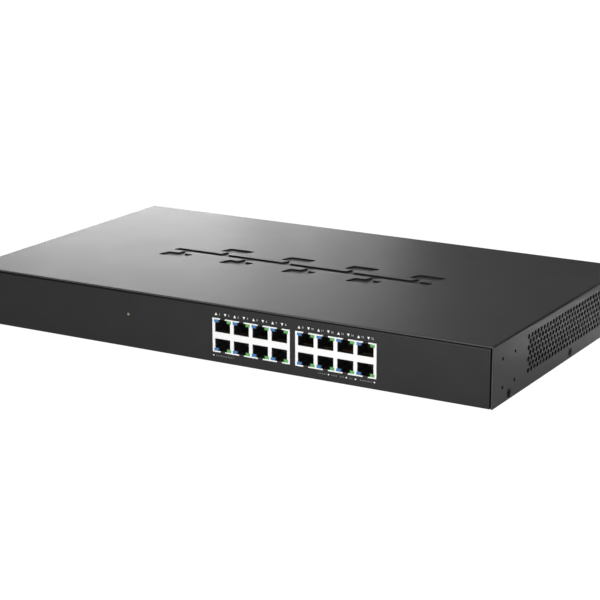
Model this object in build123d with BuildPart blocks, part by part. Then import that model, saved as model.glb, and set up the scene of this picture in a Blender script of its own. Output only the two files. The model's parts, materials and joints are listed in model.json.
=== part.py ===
from build123d import *
import os

os.makedirs("parts", exist_ok=True)

# Frame: origin at the middle of the underside, +X to the right of someone facing the
# front panel, +Y towards the back, +Z up. All sizes are in millimetres.

# ---------------------------------------------------------------- driving dimensions
width = 440.0
depth = 247.0
height = 44.0
sheet = 1.2
bend = 1.4
slip = 0.05
cut_gap = 0.2

half_width = width / 2
y_front = -depth / 2
y_back = depth / 2

# Cover: lid and two sides in one sheet, folded over the pan
cover_lift = 0.4
cover_gap = 0.2
vent_radius = 1.85
vent_pitch_y = 5.4
vent_pitch_z = 4.03
vent_columns = 30
vent_rows = 7
vent_centre = (13.0, 24.3)
motif_depth = 1.0
motif_length = 225.0
motif_line = 6.0
motif_nodes = 8
motif_pitch = 28.0
motif_node = (22.0, 11.0)
motif_reach = 21.5
motif_corner = 1.4
motif_lean = 0.3
motif_wall = 0.8 * sheet

# Pan: floor, front panel, rear panel and low side flanges
panel_recess = 0.2
rear_recess = 2.2
panel_half = 217.6
panel_top = 42.5
panel_lip = 8.0
flange_top = 9.5
flange_half = half_width - sheet - cover_gap
flange_setback = 1.8
y_panel = y_front + panel_recess
y_rear = y_back - rear_recess
foot_mark_radius = 7.0
foot_mark_depth = 0.2
foot_mark_ring = 1.0
foot_mark_spread = (370.0, 190.0)

# Rack ear holes and cover screws, on both sides
ear_spacing = 20.0
ear_hole_radius = 1.3
ear_centre = (y_front + 25.4, 21.85)
ear_tab_front = y_front + 2.2
ear_tab_back = y_front + 44.0
ear_tab_top = 38.0
screw_z = 5.0
screw_ys = (-97.3, 11.0, 103.5)
screw_radius = 1.5
screw_length = 6.0
screw_head_radius = 2.9
screw_cross = (3.4, 0.8)
cover_screw_sink = 0.45

# Jack blocks: four columns of two ports each
port_pitch = 15.7
port_columns = 4
jack_width = 64.1
jack_depth = 25.4
jack_bottom = 7.9
jack_top = 33.25
jack_centres = {"left": 32.45, "right": 100.95}
shield_sheet = 0.4
shield_recess = 0.1
window_width = 12.7
window_height = 9.3
window_bar = 4.85
key_width = 4.1
key_depth = 3.0
cavity_width = 12.0
cavity_height = 6.6
cavity_sill = 0.35
cavity_depth = 14.5
latch_width = 6.3
light_width = 3.3
light_height = 2.0
light_spacing = 10.8
light_recess = 0.1
contact_count = 8
contact_pitch = 1.02
contact_width = 0.45
contact_rise = 2.0
contact_sheet = 0.3
contact_setback = 4.0

# Boards
board_sheet = 1.6
board_bottom = 6.1
board_top = board_bottom + board_sheet
main_board_size = (233.0, 121.5)
main_board_centre = (30.5, -60.75)
main_standoffs = [(-78, -87), (66.7, -87), (139, -87), (-78, -8), (20, -8), (139, -8)]
psu_board_size = (100.0, 96.0)
psu_board_centre = (-155.0, 40.0)
psu_standoffs = [(-200, -3), (-110, -3), (-200, 83), (-110, 83)]
board_corner = 2.0
board_hole_radius = 1.7
standoff_radius = 3.0
board_screw_radius = 1.45
board_screw_length = 5.5
board_screw_head = (2.8, 1.8)
board_screw_cross = (3.0, 0.6, 1.0)
insulator_margin = 3.0
insulator_sheet = 0.4
insulator_gap = 0.5

# Front power light
light_x = -73.1
light_z = 25.4
pipe_radius = 1.0
pipe_setback = 13.0
pipe_turn = 4.0
pipe_gap = 0.25
power_led_size = (3.0, 2.0, 2.4)

# Mains inlet, in the rear panel
inlet_x = -160.0
inlet_z = 21.0
inlet_flange = (50.0, 24.0, 2.0)
inlet_flange_corner = 4.0
inlet_body = (27.0, 20.0)
inlet_body_corner = 2.0
inlet_body_depth = 22.0
inlet_cavity = (24.4, 16.8)
inlet_cavity_depth = 16.0
inlet_cavity_cut = 4.5
inlet_screw_spacing = 40.0
inlet_nut = (3.1, 2.4)
inlet_pin = (2.0, 4.0)
inlet_pin_recess = 6.0
inlet_pin_places = [(-7.0, -2.0), (7.0, -2.0), (0.0, 2.0)]
pin_tab_end = 89.0

# Earth screw in the rear panel, with the ring and the nut behind it
earth_x = -118.0
earth_z = 14.0
earth_radius = 2.0
earth_length = 8.0
earth_head = (3.8, 2.0)
earth_head_edge = 0.7
earth_cross = (4.4, 0.9, 1.1)
earth_ring_radius = 4.0
earth_ring_sheet = 0.8
earth_tongue = (3.0, 5.0)
earth_nut_size = (3.9, 3.2)
earth_lug_rise = 6.4

# Mains wires behind the inlet
wire_radius = 0.9
wire_turn = 3.0
wire_drop = 5.0

# Parts on the main board: (x, y) places, and sizes along X, Y and Z
seat = board_top + slip
magnetics_size = (12.4, 15.0, 5.8)
magnetics_gap = 3.0
magnetics_rise = 0.3
switch_place = (66.7, -27.0)
switch_side = 27.0
phy_places = [(32.45, -64.0), (100.95, -64.0)]
phy_side = 20.0
chip_height = 2.2
chip_top = seat + chip_height
pad_margin = 1.0
pad_height = 0.5
sink_bottom = chip_top + pad_height
switch_sink = {"size": (50.0, 40.0, 22.0), "fins": 12, "base": 3.0, "fin": 1.2}
phy_sink = {"size": (28.0, 27.0, 12.0), "fins": 8, "base": 2.5, "fin": 1.0}
flash_place = (108.0, -30.0)
flash_size = (5.2, 5.3, 1.8)
crystal_place = (108.0, -18.0)
crystal_size = (11.0, 4.6, 3.5)
regulator_x = -26.0
regulator_ys = (-20.0, -36.0, -52.0)
inductor_size = (10.0, 10.0, 4.5)
inductor_corner = 2.0
small_can = (3.15, 7.7)
small_can_spread = 16.0

# Direct-current link between the boards
dc_pins = 4
dc_pitch = 2.5
dc_places = {"main": (-64.0, -26.0), "psu": (-119.0, 2.0)}
dc_header = (5.8, 12.5, 4.0)
dc_plug = (5.2, 11.6, 6.0)
dc_wire_radius = 0.8
dc_wire_turn = 4.0
dc_wire_top = 27.0

# Parts on the power board
fuse_start = (-197.0, 72.0)
fuse_length = 20.0
fuse_rise = 3.4
fuse_radius = 2.6
fuse_cap = (3.1, 5.0)
x_capacitor_place = (-163.0, 72.0)
x_capacitor_size = (18.0, 8.5, 14.5)
x_capacitor_edge = 0.8
choke_place = (-138.0, 67.0)
choke_radii = (5.0, 10.0)
choke_height = 9.0
choke_rise = 2.0
choke_copper = 1.2
choke_split = 5.0
rectifier_place = (-115.0, 66.0)
rectifier_size = (3.6, 15.0, 11.0)
rectifier_rise = 2.0
bulk_place = (-190.0, 46.0)
bulk_can = (9.0, 28.0)
bulk_edge = 1.0
output_places = [(-160.0, 2.0), (-148.0, 2.0), (-136.0, 2.0)]
output_can = (5.0, 18.0)
output_edge = 0.6
power_sink_places = [(-172.0, 38.0), (-118.0, 38.0)]
power_sink_size = (2.5, 36.0, 25.0)
transistor_size = (4.5, 10.0, 15.0)
transistor_rise = 4.0
transformer_place = (-146.0, 36.0)
transformer_core = (30.0, 11.0, 25.0)
transformer_rise = 1.0
core_leg = 7.0
winding_depth = 24.0
winding_corner = 3.0
winding_gap = 0.3

# ---------------------------------------------------------------- shared helpers


def facing_front(y):
    """Sketch plane at y that faces the front: local x is X and local y is Z."""
    return Plane.XZ.offset(-y)


def facing_back(y):
    """Sketch plane at y that faces the back: local x is -X and local y is Z."""
    return Plane((0, y, 0), x_dir=(-1, 0, 0), z_dir=(0, 1, 0))


def box_at(x, y, bottom, size):
    """Upright block standing on a height, centred on x and y."""
    with BuildSketch(Plane.XY.offset(bottom)) as outline:
        with Locations((x, y)):
            Rectangle(size[0], size[1])
    extrude(outline.sketch, amount=size[2])


def can_at(x, y, bottom, radius, tall):
    """Upright cylinder standing on a height."""
    with BuildSketch(Plane.XY.offset(bottom)) as outline:
        with Locations((x, y)):
            Circle(radius)
    extrude(outline.sketch, amount=tall)


def wire_along(points, turn, radius):
    """Round wire along straight runs joined by arcs of one radius."""
    with BuildLine() as route:
        FilletPolyline(*points, radius=turn)
    with BuildSketch(Plane(route.line @ 0, z_dir=route.line % 0)) as section:
        Circle(radius)
    sweep(section.sketch, path=route.wires()[0])


def countersunk_screw(face, head_depth):
    """Cross-head screw, its head flush with a face and its shank along the face's normal."""
    with BuildSketch(face) as head:
        Circle(screw_head_radius)
    extrude(head.sketch, amount=head_depth, taper=45)
    with BuildSketch(face.offset(head_depth / 2)) as shank:
        Circle(screw_radius)
    extrude(shank.sketch, amount=screw_length - head_depth / 2)
    with BuildSketch(face) as recess:
        Rectangle(screw_cross[0], screw_cross[1])
        Rectangle(screw_cross[1], screw_cross[0])
    extrude(recess.sketch, amount=0.75 * head_depth, mode=Mode.SUBTRACT)


# ---------------------------------------------------------------- top cover


def motif_outline(grow):
    """Corners of a bus line with nodes hung above and below it in turn, grown outwards."""
    line = motif_line / 2 + grow
    half_node = motif_node[0] / 2 + grow
    near = motif_reach - motif_node[1] - grow
    far = motif_reach + grow
    end = motif_length / 2 + grow
    corners = []
    for up in (-1, 1):
        corners.append((up * end, up * line))
        places = [(i - (motif_nodes - 1) / 2) * motif_pitch for i in range(motif_nodes)]
        hung = [x for i, x in enumerate(places) if (i % 2 == 1) == (up > 0)]
        # Along the lower side from left to right, then back along the upper side
        for x in sorted(hung, reverse=up > 0):
            for across, out in (
                (line, line),
                (line, near),
                (half_node, near),
                (half_node, far),
                (-half_node, far),
                (-half_node, near),
                (-line, near),
                (-line, line),
            ):
                corners.append((x + up * across, up * out))
        corners.append((up * -end, up * line))
    return [(x + motif_lean * y, y) for x, y in corners]


with BuildPart() as top_cover:
    with BuildSketch(Plane.XZ):
        with BuildLine():
            FilletPolyline(
                (-half_width, cover_lift),
                (-half_width, height),
                (half_width, height),
                (half_width, cover_lift),
                radius=bend,
            )
            offset(amount=sheet, side=Side.RIGHT)
        make_face()
    extrude(amount=depth / 2, both=True)

    # Vents: staggered rows of round holes, the same in both sides
    with BuildSketch(Plane.YZ):
        with Locations(vent_centre):
            with GridLocations(vent_pitch_y, 2 * vent_pitch_z, vent_columns, vent_rows // 2 + 1):
                Circle(vent_radius)
            with GridLocations(vent_pitch_y, 2 * vent_pitch_z, vent_columns - 1, vent_rows // 2):
                Circle(vent_radius)
        with Locations(ear_centre):
            with GridLocations(ear_spacing, ear_spacing, 2, 2):
                Circle(ear_hole_radius)
    extrude(amount=half_width + sheet, both=True, mode=Mode.SUBTRACT)

    # Cover screw holes, countersunk through the sheet, deeper than the heads
    for side in (-1, 1):
        for y in screw_ys:
            with Locations(Plane((side * half_width, y, screw_z), z_dir=(side, 0, 0))):
                countersink_radius = screw_head_radius + cover_screw_sink + slip
                CounterSinkHole(screw_radius + cut_gap, countersink_radius, 3 * sheet, 90)

    # Motif pressed into the lid: a raised pad underneath, then the recess above
    for grow, face, mode in (
        (motif_wall, height - sheet, Mode.ADD),
        (0.0, height, Mode.SUBTRACT),
    ):
        with BuildSketch(Plane.XY.offset(face)):
            with BuildLine():
                FilletPolyline(*motif_outline(grow), close=True, radius=motif_corner)
            make_face()
        extrude(amount=-motif_depth, mode=mode)

top_cover.part.label = "top_cover"
export_step(top_cover.part, "parts/top_cover.step")

# ---------------------------------------------------------------- base pan

with BuildPart() as base_pan:
    # Floor, front panel and rear panel, with lips folded in along their tops
    with BuildSketch(Plane.YZ):
        with BuildLine():
            FilletPolyline(
                (y_panel + panel_lip, panel_top),
                (y_panel, panel_top),
                (y_panel, 0),
                (y_rear, 0),
                (y_rear, panel_top),
                (y_rear - panel_lip, panel_top),
                radius=bend,
            )
            offset(amount=sheet, side=Side.LEFT)
        make_face()
    extrude(amount=panel_half, both=True)

    # Side flanges, folded up from the floor
    flange_front = y_panel + flange_setback
    flange_back = y_rear - flange_setback
    with BuildSketch(facing_front(flange_front)):
        with BuildLine():
            FilletPolyline(
                (-flange_half, flange_top),
                (-flange_half, 0),
                (flange_half, 0),
                (flange_half, flange_top),
                radius=bend,
            )
            offset(amount=sheet, side=Side.LEFT)
        make_face()
    extrude(amount=flange_front - flange_back)

    # Tall tabs behind the rack ear holes
    for side in (-1, 1):
        with BuildSketch(Plane.YZ.offset(side * (flange_half - sheet / 2))):
            with Locations(((ear_tab_front + ear_tab_back) / 2, ear_tab_top / 2 + bend)):
                Rectangle(ear_tab_back - ear_tab_front, ear_tab_top - 2 * bend)
        extrude(amount=sheet / 2, both=True)

    # Ear holes and cover screw holes through the flanges
    with BuildSketch(Plane.YZ):
        with Locations(ear_centre):
            with GridLocations(ear_spacing, ear_spacing, 2, 2):
                Circle(ear_hole_radius)
        with Locations(*[(y, screw_z) for y in screw_ys]):
            Circle(screw_radius + 2 * slip)
    extrude(amount=half_width, both=True, mode=Mode.SUBTRACT)

    # Front cut-outs for the jack blocks and the light pipe
    with BuildSketch(facing_front(y_panel)):
        for x in jack_centres.values():
            with Locations((x, (jack_bottom + jack_top) / 2)):
                Rectangle(jack_width + 2 * cut_gap, jack_top - jack_bottom + 2 * cut_gap)
        with Locations((light_x, light_z)):
            Circle(pipe_radius + slip)
    extrude(amount=-2 * sheet, mode=Mode.SUBTRACT)

    # Rear cut-outs for the inlet, its screws and the earth screw
    with BuildSketch(facing_back(y_rear)):
        with Locations((-inlet_x, inlet_z)):
            Rectangle(inlet_body[0] + 2 * cut_gap, inlet_body[1] + 2 * cut_gap)
            with GridLocations(inlet_screw_spacing, 0, 2, 1):
                Circle(screw_radius + cut_gap)
        with Locations((-earth_x, earth_z)):
            Circle(earth_radius + 2 * slip)
    extrude(amount=-2 * sheet, mode=Mode.SUBTRACT)

    # Round marks pressed into the underside, where stick-on feet may go
    with BuildSketch(Plane.XY):
        with GridLocations(foot_mark_spread[0], foot_mark_spread[1], 2, 2):
            Circle(foot_mark_radius)
            Circle(foot_mark_radius - foot_mark_ring, mode=Mode.SUBTRACT)
    extrude(amount=foot_mark_depth, mode=Mode.SUBTRACT)

base_pan.part.label = "base_pan"
export_step(base_pan.part, "parts/base_pan.step")

# ---------------------------------------------------------------- cover screws

with BuildPart() as cover_screws:
    # The heads sit in the countersinks, and end where the flange begins
    for side in (-1, 1):
        for y in screw_ys:
            head_face = (side * (half_width - cover_screw_sink), y, screw_z)
            countersunk_screw(Plane(head_face, z_dir=(-side, 0, 0)), sheet - cover_screw_sink)

cover_screws.part.label = "cover_screws"
export_step(cover_screws.part, "parts/cover_screws.step")

# ---------------------------------------------------------------- jack blocks

jack_middle = (jack_bottom + jack_top) / 2
shield_front = y_front + shield_recess
shield_back = shield_front + jack_depth
body_front = shield_front + shield_sheet + slip
body_back = shield_back - shield_sheet - slip
body_top = jack_top - shield_sheet - slip
window_offset = (window_bar + window_height) / 2
band = jack_top - jack_middle - window_bar / 2 - window_height
key_offset = jack_top - jack_middle - band / 2 + cut_gap
cavity_floor = window_bar / 2 + cavity_sill
cavity_ceiling = cavity_floor + cavity_height
latch_ceiling = window_bar / 2 + window_height - slip
light_offset = latch_ceiling - light_height / 2

for name, centre in jack_centres.items():
    # Each feature is placed by its column and its row; the lower row is the upper one
    # turned over, so its latch keys face down.
    columns = [centre + (i - (port_columns - 1) / 2) * port_pitch for i in range(port_columns)]
    ports = [(x, row) for x in columns for row in (-1, 1)]

    with BuildPart() as jack_shield:
        with BuildSketch(Plane.XY.offset(jack_bottom)):
            with Locations((centre, (shield_front + shield_back) / 2)):
                Rectangle(jack_width, jack_depth)
        extrude(amount=jack_top - jack_bottom)
        # Hollow, open underneath for the pins
        with BuildSketch(Plane.XY.offset(jack_bottom)):
            with Locations((centre, (shield_front + shield_back) / 2)):
                Rectangle(jack_width - 2 * shield_sheet, jack_depth - 2 * shield_sheet)
        extrude(amount=jack_top - jack_bottom - shield_sheet, mode=Mode.SUBTRACT)
        # Port windows, wider at the corner lights
        with BuildSketch(facing_front(shield_front)):
            for x, row in ports:
                with Locations((x, jack_middle + row * window_offset)):
                    Rectangle(window_width, window_height)
                with Locations((x, jack_middle + row * light_offset)):
                    Rectangle(light_spacing + light_width + 4 * slip, light_height + 2 * slip)
        extrude(amount=-shield_sheet, mode=Mode.SUBTRACT)
        # Keys for the plugs' latches, from the windows to the edges and along the top
        with BuildSketch(facing_front(shield_front)):
            for x, row in ports:
                with Locations((x, jack_middle + row * key_offset)):
                    Rectangle(key_width, band + 2 * cut_gap)
        extrude(amount=-key_depth, mode=Mode.SUBTRACT)
    jack_shield.part.label = f"jack_shield_{name}"
    export_step(jack_shield.part, f"parts/jack_shield_{name}.step")

    with BuildPart() as jack_housing:
        body_bottom = board_top + slip
        body_width = jack_width - 2 * shield_sheet - 2 * slip
        with BuildSketch(Plane.XY.offset(body_bottom)):
            with Locations((centre, (body_front + body_back) / 2)):
                Rectangle(body_width, body_back - body_front)
        extrude(amount=body_top - body_bottom)
        with BuildSketch(facing_front(body_front)):
            for x, row in ports:
                with Locations((x, jack_middle + row * (cavity_floor + cavity_height / 2))):
                    Rectangle(cavity_width, cavity_height)
                latch_middle = (cavity_ceiling + latch_ceiling) / 2
                with Locations((x, jack_middle + row * latch_middle)):
                    Rectangle(latch_width, latch_ceiling - cavity_ceiling + 2 * slip)
        extrude(amount=-cavity_depth, mode=Mode.SUBTRACT)
        # Pockets for the corner lights
        with BuildSketch(facing_front(body_front)):
            for x, row in ports:
                with Locations((x, jack_middle + row * light_offset)):
                    with GridLocations(light_spacing, 0, 2, 1):
                        Rectangle(light_width + 2 * slip, light_height + 2 * slip)
        extrude(amount=-cavity_depth / 2, mode=Mode.SUBTRACT)
    jack_housing.part.label = f"jack_housing_{name}"
    export_step(jack_housing.part, f"parts/jack_housing_{name}.step")

    with BuildPart() as jack_contacts:
        spring_front = body_front + contact_setback
        spring_back = body_front + cavity_depth - slip
        for x, row in ports:
            floor = cavity_floor + slip
            slope = [
                (spring_front, jack_middle + row * floor),
                (spring_back, jack_middle + row * (floor + contact_rise - contact_sheet)),
                (spring_back, jack_middle + row * (floor + contact_rise)),
                (spring_front, jack_middle + row * (floor + contact_sheet)),
            ]
            for index in range(contact_count):
                contact_x = x + (index - (contact_count - 1) / 2) * contact_pitch
                with BuildSketch(Plane.YZ.offset(contact_x)):
                    Polygon(*slope, align=None)
                extrude(amount=contact_width / 2, both=True)
    jack_contacts.part.label = f"jack_contacts_{name}"
    export_step(jack_contacts.part, f"parts/jack_contacts_{name}.step")

for colour, side in (("blue", -1), ("green", 1)):
    with BuildPart() as port_lights:
        light_front = shield_front + light_recess
        light_back = body_front + cavity_depth / 2 - slip
        with BuildSketch(facing_front(light_front)):
            for centre in jack_centres.values():
                with Locations((centre + side * light_spacing / 2, jack_middle)):
                    with GridLocations(port_pitch, 2 * light_offset, port_columns, 2):
                        Rectangle(light_width, light_height)
        extrude(amount=light_front - light_back)
    port_lights.part.label = f"port_lights_{colour}"
    export_step(port_lights.part, f"parts/port_lights_{colour}.step")

# ---------------------------------------------------------------- boards and their fixings

for name, size, middle, places in (
    ("main_board", main_board_size, main_board_centre, main_standoffs),
    ("psu_board", psu_board_size, psu_board_centre, psu_standoffs),
):
    with BuildPart() as board:
        with BuildSketch(Plane.XY.offset(board_bottom)):
            with Locations(middle):
                RectangleRounded(size[0], size[1], board_corner)
            with Locations(*places):
                Circle(board_hole_radius, mode=Mode.SUBTRACT)
        extrude(amount=board_sheet)
    board.part.label = name
    export_step(board.part, f"parts/{name}.step")

    with BuildPart() as standoffs:
        with BuildSketch(Plane.XY.offset(sheet)):
            with Locations(*places):
                RegularPolygon(standoff_radius, 6)
                Circle(board_screw_radius + slip, mode=Mode.SUBTRACT)
        extrude(amount=board_bottom - sheet)
    standoffs.part.label = f"{name}_standoffs"
    export_step(standoffs.part, f"parts/{name}_standoffs.step")

    with BuildPart() as screws:
        with BuildSketch(Plane.XY.offset(board_top)):
            with Locations(*places):
                Circle(board_screw_head[0])
        extrude(amount=board_screw_head[1])
        with BuildSketch(Plane.XY.offset(board_top)):
            with Locations(*places):
                Circle(board_screw_radius)
        extrude(amount=-board_screw_length)
        with BuildSketch(Plane.XY.offset(board_top + board_screw_head[1])):
            with Locations(*places):
                Rectangle(board_screw_cross[0], board_screw_cross[1])
                Rectangle(board_screw_cross[1], board_screw_cross[0])
        extrude(amount=-board_screw_cross[2], mode=Mode.SUBTRACT)
    screws.part.label = f"{name}_screws"
    export_step(screws.part, f"parts/{name}_screws.step")

with BuildPart() as psu_insulator:
    with BuildSketch(Plane.XY.offset(sheet + slip)):
        with Locations(psu_board_centre):
            RectangleRounded(
                psu_board_size[0] + 2 * insulator_margin,
                psu_board_size[1] + 2 * insulator_margin,
                insulator_margin,
            )
        with Locations(*psu_standoffs):
            Circle(standoff_radius + insulator_gap, mode=Mode.SUBTRACT)
    extrude(amount=insulator_sheet)
psu_insulator.part.label = "psu_insulator"
export_step(psu_insulator.part, "parts/psu_insulator.step")

# ---------------------------------------------------------------- front power light

with BuildPart() as power_led:
    box_at(light_x, y_panel + pipe_setback, seat, power_led_size)
power_led.part.label = "power_led"
export_step(power_led.part, "parts/power_led.step")

with BuildPart() as light_pipe:
    pipe_foot = seat + power_led_size[2] + pipe_gap
    pipe_y = y_panel + pipe_setback
    wire_along(
        [(light_x, pipe_y, pipe_foot), (light_x, pipe_y, light_z), (light_x, y_panel, light_z)],
        pipe_turn,
        pipe_radius,
    )
light_pipe.part.label = "light_pipe"
export_step(light_pipe.part, "parts/light_pipe.step")

# ---------------------------------------------------------------- parts on the main board

with BuildPart() as lan_transformers:
    for centre in jack_centres.values():
        for column in range(port_columns):
            x = centre + (column - (port_columns - 1) / 2) * port_pitch
            y = shield_back + magnetics_gap + magnetics_size[1] / 2
            box_at(x, y, board_top + magnetics_rise, magnetics_size)
lan_transformers.part.label = "lan_transformers"
export_step(lan_transformers.part, "parts/lan_transformers.step")

with BuildPart() as switch_chip:
    box_at(*switch_place, seat, (switch_side, switch_side, chip_height))
switch_chip.part.label = "switch_chip"
export_step(switch_chip.part, "parts/switch_chip.step")

with BuildPart() as phy_chips:
    for place in phy_places:
        box_at(*place, seat, (phy_side, phy_side, chip_height))
phy_chips.part.label = "phy_chips"
export_step(phy_chips.part, "parts/phy_chips.step")

with BuildPart() as thermal_pads:
    for place, side in ((switch_place, switch_side), *[(p, phy_side) for p in phy_places]):
        pad_side = side - 2 * pad_margin
        box_at(*place, chip_top, (pad_side, pad_side, pad_height))
thermal_pads.part.label = "thermal_pads"
export_step(thermal_pads.part, "parts/thermal_pads.step")


def finned_sink(x, y, size, fins, base, fin):
    """Extruded aluminium sink: a base plate with upright fins along Y."""
    box_at(x, y, sink_bottom, (size[0], size[1], base))
    pitch = (size[0] - fin) / (fins - 1)
    with BuildSketch(Plane.XY.offset(sink_bottom + base)) as fin_tops:
        with Locations((x, y)):
            with GridLocations(pitch, 0, fins, 1):
                Rectangle(fin, size[1])
    extrude(fin_tops.sketch, amount=size[2] - base)


with BuildPart() as switch_heatsink:
    finned_sink(*switch_place, **switch_sink)
switch_heatsink.part.label = "switch_heatsink"
export_step(switch_heatsink.part, "parts/switch_heatsink.step")

with BuildPart() as phy_heatsinks:
    for place in phy_places:
        finned_sink(*place, **phy_sink)
phy_heatsinks.part.label = "phy_heatsinks"
export_step(phy_heatsinks.part, "parts/phy_heatsinks.step")

with BuildPart() as flash_chip:
    box_at(*flash_place, seat, flash_size)
flash_chip.part.label = "flash_chip"
export_step(flash_chip.part, "parts/flash_chip.step")

with BuildPart() as clock_crystal:
    with BuildSketch(Plane.XY.offset(seat)):
        with Locations(crystal_place):
            SlotOverall(crystal_size[0], crystal_size[1])
    extrude(amount=crystal_size[2])
clock_crystal.part.label = "clock_crystal"
export_step(clock_crystal.part, "parts/clock_crystal.step")

with BuildPart() as board_inductors:
    with BuildSketch(Plane.XY.offset(seat)):
        with Locations(*[(regulator_x, y) for y in regulator_ys]):
            RectangleRounded(inductor_size[0], inductor_size[1], inductor_corner)
    extrude(amount=inductor_size[2])
board_inductors.part.label = "board_inductors"
export_step(board_inductors.part, "parts/board_inductors.step")

with BuildPart() as board_capacitors:
    for y in regulator_ys:
        for side in (-1, 1):
            can_at(regulator_x + side * small_can_spread, y, seat, *small_can)
board_capacitors.part.label = "board_capacitors"
export_step(board_capacitors.part, "parts/board_capacitors.step")

# ---------------------------------------------------------------- DC link between the boards

with BuildPart() as dc_headers:
    for place in dc_places.values():
        box_at(*place, seat, dc_header)
dc_headers.part.label = "dc_headers"
export_step(dc_headers.part, "parts/dc_headers.step")

with BuildPart() as dc_plugs:
    for place in dc_places.values():
        box_at(*place, seat + dc_header[2] + slip, dc_plug)
dc_plugs.part.label = "dc_plugs"
export_step(dc_plugs.part, "parts/dc_plugs.step")

with BuildPart() as dc_wires:
    wire_foot = seat + dc_header[2] + slip + dc_plug[2]
    for pin in range(dc_pins):
        shift = (pin - (dc_pins - 1) / 2) * dc_pitch
        start = (dc_places["psu"][0], dc_places["psu"][1] + shift)
        end = (dc_places["main"][0], dc_places["main"][1] + shift)
        wire_along(
            [(*start, wire_foot), (*start, dc_wire_top), (*end, dc_wire_top), (*end, wire_foot)],
            dc_wire_turn,
            dc_wire_radius,
        )
dc_wires.part.label = "dc_wires"
export_step(dc_wires.part, "parts/dc_wires.step")

# ---------------------------------------------------------------- parts on the power board

with BuildPart() as psu_fuse:
    # A ceramic tube with a metal cap at each end
    fuse_end = fuse_start[0] + fuse_length
    for start, radius, length in (
        (fuse_start[0], fuse_radius, fuse_length),
        (fuse_start[0], *fuse_cap),
        (fuse_end - fuse_cap[1], *fuse_cap),
    ):
        with BuildSketch(Plane.YZ.offset(start)):
            with Locations((fuse_start[1], board_top + fuse_rise)):
                Circle(radius)
        extrude(amount=length)
psu_fuse.part.label = "psu_fuse"
export_step(psu_fuse.part, "parts/psu_fuse.step")

with BuildPart() as x_capacitor:
    box_at(*x_capacitor_place, seat, x_capacitor_size)
    fillet(x_capacitor.edges().filter_by(Axis.Z), x_capacitor_edge)
x_capacitor.part.label = "x_capacitor"
export_step(x_capacitor.part, "parts/x_capacitor.step")

with BuildPart() as emi_choke_core:
    with BuildSketch(Plane.XY.offset(board_top + choke_rise)):
        with Locations(choke_place):
            Circle(choke_radii[1])
            Circle(choke_radii[0], mode=Mode.SUBTRACT)
    extrude(amount=choke_height)
emi_choke_core.part.label = "emi_choke_core"
export_step(emi_choke_core.part, "parts/emi_choke_core.step")

with BuildPart() as emi_choke_windings:
    # Two coils, each a C-shaped sleeve around one side of the core
    coil = slip + choke_copper
    with BuildSketch(Plane.XY.offset(board_top + choke_rise - coil)):
        with Locations(choke_place):
            Circle(choke_radii[1] + coil)
            Circle(choke_radii[0] - coil, mode=Mode.SUBTRACT)
            Rectangle(3 * choke_radii[1], choke_split, mode=Mode.SUBTRACT)
    extrude(amount=choke_height + 2 * coil)
    with BuildSketch(Plane.XY.offset(board_top + choke_rise - slip)):
        with Locations(choke_place):
            Circle(choke_radii[1] + slip)
            Circle(choke_radii[0] - slip, mode=Mode.SUBTRACT)
    extrude(amount=choke_height + 2 * slip, mode=Mode.SUBTRACT)
emi_choke_windings.part.label = "emi_choke_windings"
export_step(emi_choke_windings.part, "parts/emi_choke_windings.step")

with BuildPart() as bridge_rectifier:
    box_at(*rectifier_place, board_top + rectifier_rise, rectifier_size)
bridge_rectifier.part.label = "bridge_rectifier"
export_step(bridge_rectifier.part, "parts/bridge_rectifier.step")

with BuildPart() as bulk_capacitor:
    can_at(*bulk_place, seat, *bulk_can)
    fillet(bulk_capacitor.edges().group_by(Axis.Z)[-1], bulk_edge)
bulk_capacitor.part.label = "bulk_capacitor"
export_step(bulk_capacitor.part, "parts/bulk_capacitor.step")

with BuildPart() as output_capacitors:
    for place in output_places:
        can_at(*place, seat, *output_can)
    fillet(output_capacitors.edges().group_by(Axis.Z)[-1], output_edge)
output_capacitors.part.label = "output_capacitors"
export_step(output_capacitors.part, "parts/output_capacitors.step")

with BuildPart() as psu_heatsinks:
    for place in power_sink_places:
        box_at(*place, seat, power_sink_size)
psu_heatsinks.part.label = "psu_heatsinks"
export_step(psu_heatsinks.part, "parts/psu_heatsinks.step")

with BuildPart() as power_transistors:
    # Each stands against the left face of its heat sink
    for x, y in power_sink_places:
        x -= power_sink_size[0] / 2 + transistor_size[0] / 2 + 2 * slip
        box_at(x, y, board_top + transistor_rise, transistor_size)
power_transistors.part.label = "power_transistors"
export_step(power_transistors.part, "parts/power_transistors.step")

with BuildPart() as psu_transformer_core:
    # Two E halves closed face to face: an outer ring and a middle leg
    with BuildSketch(facing_front(transformer_place[1])):
        core_middle = board_top + transformer_rise + transformer_core[2] / 2
        with Locations((transformer_place[0], core_middle)):
            Rectangle(transformer_core[0], transformer_core[2])
            with GridLocations(transformer_core[0] / 2, 0, 2, 1):
                window = (transformer_core[0] / 2 - core_leg, transformer_core[2] - core_leg)
                Rectangle(*window, mode=Mode.SUBTRACT)
    extrude(amount=transformer_core[1] / 2, both=True)
psu_transformer_core.part.label = "psu_transformer_core"
export_step(psu_transformer_core.part, "parts/psu_transformer_core.step")

with BuildPart() as psu_transformer_winding:
    # Bobbin and winding around the middle leg
    winding_bottom = board_top + transformer_rise + core_leg / 2 + winding_gap
    winding_width = transformer_core[0] - core_leg - 2 * winding_gap
    leg_hole = (core_leg + 2 * winding_gap, transformer_core[1] + 2 * winding_gap)
    with BuildSketch(Plane.XY.offset(winding_bottom)):
        with Locations(transformer_place):
            RectangleRounded(winding_width, winding_depth, winding_corner)
            Rectangle(*leg_hole, mode=Mode.SUBTRACT)
    extrude(amount=transformer_core[2] - core_leg - 2 * winding_gap)
psu_transformer_winding.part.label = "psu_transformer_winding"
export_step(psu_transformer_winding.part, "parts/psu_transformer_winding.step")

# ---------------------------------------------------------------- mains inlet

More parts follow.
